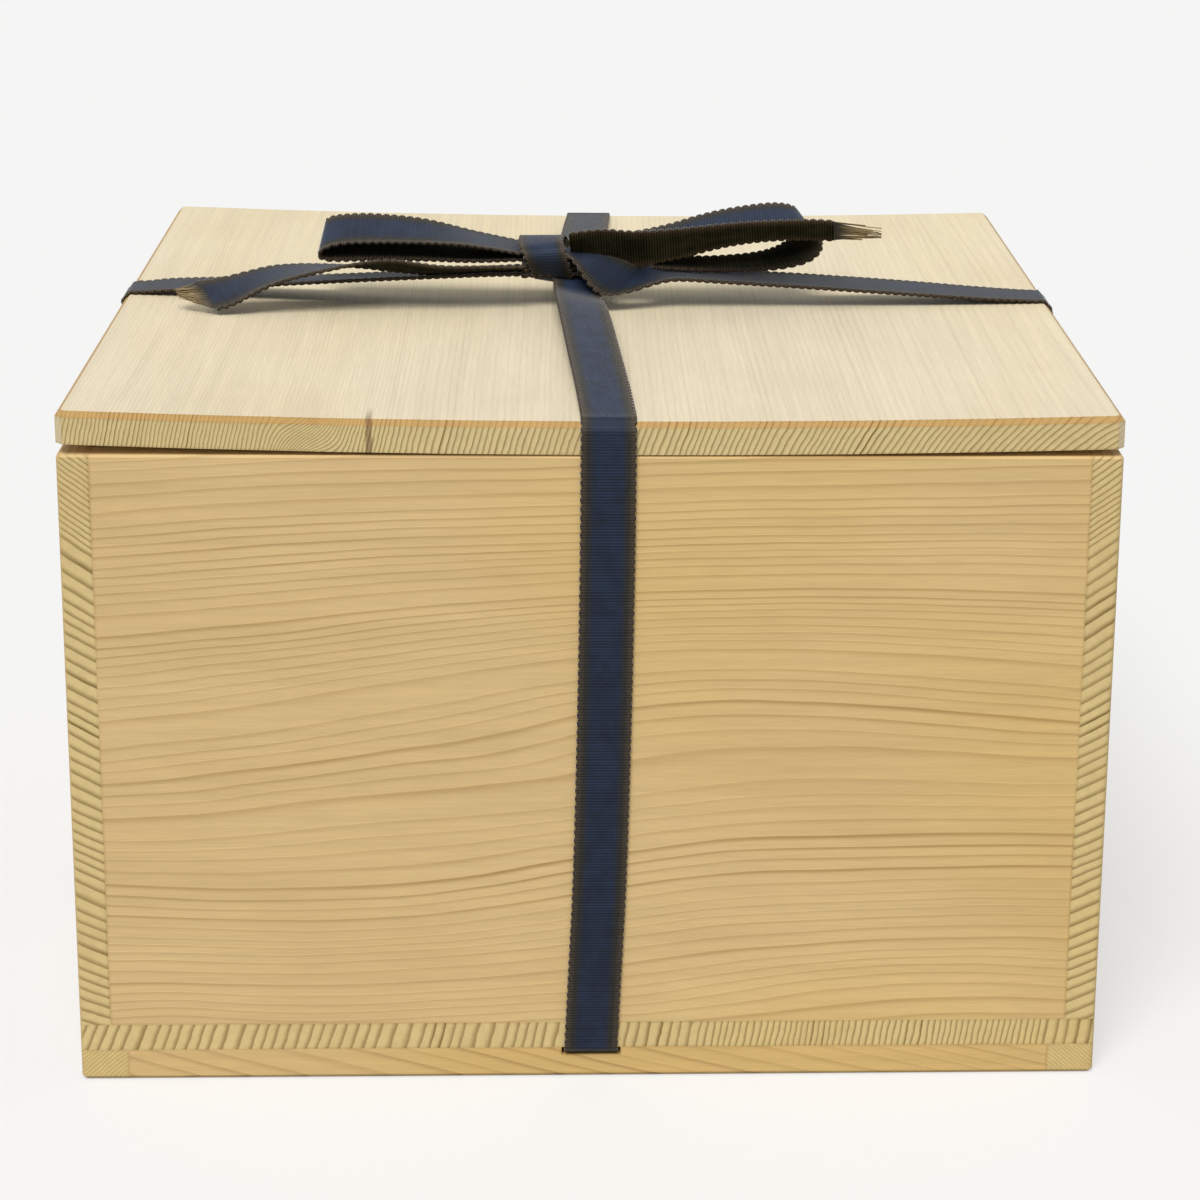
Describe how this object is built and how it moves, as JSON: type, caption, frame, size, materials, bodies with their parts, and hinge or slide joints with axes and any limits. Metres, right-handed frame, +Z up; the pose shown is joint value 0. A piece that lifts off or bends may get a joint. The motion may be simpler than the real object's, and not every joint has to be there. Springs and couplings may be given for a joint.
{
  "type": "lidded wooden keeping box",
  "caption": "Square wooden keeping box with a loose cupped lid, foot battens and a ribbed woven ribbon tied crosswise in a bow on top.",
  "frame": {"origin": "on the ground, under the middle of the box", "axes": "+X to the right and +Y to the back as the box is seen from its front, +Z up"},
  "size_m": [0.2822, 0.2822, 0.2176],
  "materials": {
    "board_wood": "bare planed softwood with wavy long grain",
    "foot_wood": "bare planed softwood, a little darker",
    "lid_wood": "bare planed softwood, pale, with fine straight grain and one stain stripe",
    "peg_wood": "bare cut peg ends",
    "ribbon": "ribbed woven ribbon, dark blue with brown scalloped edges"
  },
  "bodies": {
    "box": {"left_board": "board_wood", "right_board": "board_wood", "front_board": "board_wood", "back_board": "board_wood", "bottom_board": "board_wood", "foot_left": "foot_wood", "foot_right": "foot_wood", "foot_front": "foot_wood", "foot_back": "foot_wood", "corner_pegs_left": "peg_wood", "corner_pegs_right": "peg_wood", "foot_pegs": "peg_wood", "ribbon_under_front_back": "ribbon", "ribbon_under_left_right": "ribbon", "ribbon_front": "ribbon", "ribbon_back": "ribbon", "ribbon_left": "ribbon", "ribbon_right": "ribbon"},
    "lid": {"lid_board": "lid_wood", "lid_batten_front": "lid_wood", "lid_batten_back": "lid_wood", "lid_batten_left": "lid_wood", "lid_batten_right": "lid_wood", "lid_pegs": "peg_wood", "ribbon_lid_front": "ribbon", "ribbon_lid_back": "ribbon", "ribbon_lid_left": "ribbon", "ribbon_lid_right": "ribbon", "knot_wrap": "ribbon", "knot_core": "ribbon", "knot_fold": "ribbon", "bow_loop_left": "ribbon", "bow_loop_right": "ribbon", "bow_tail_left": "ribbon", "bow_tail_right": "ribbon"}
  },
  "joints": [
    {"name": "lid_lift", "type": "slide", "parent": "box", "child": "lid", "axis": [0, 0, 1], "range_m": [0, 0.04], "deforming": ["ribbon_front", "ribbon_back", "ribbon_left", "ribbon_right"]}
  ]
}
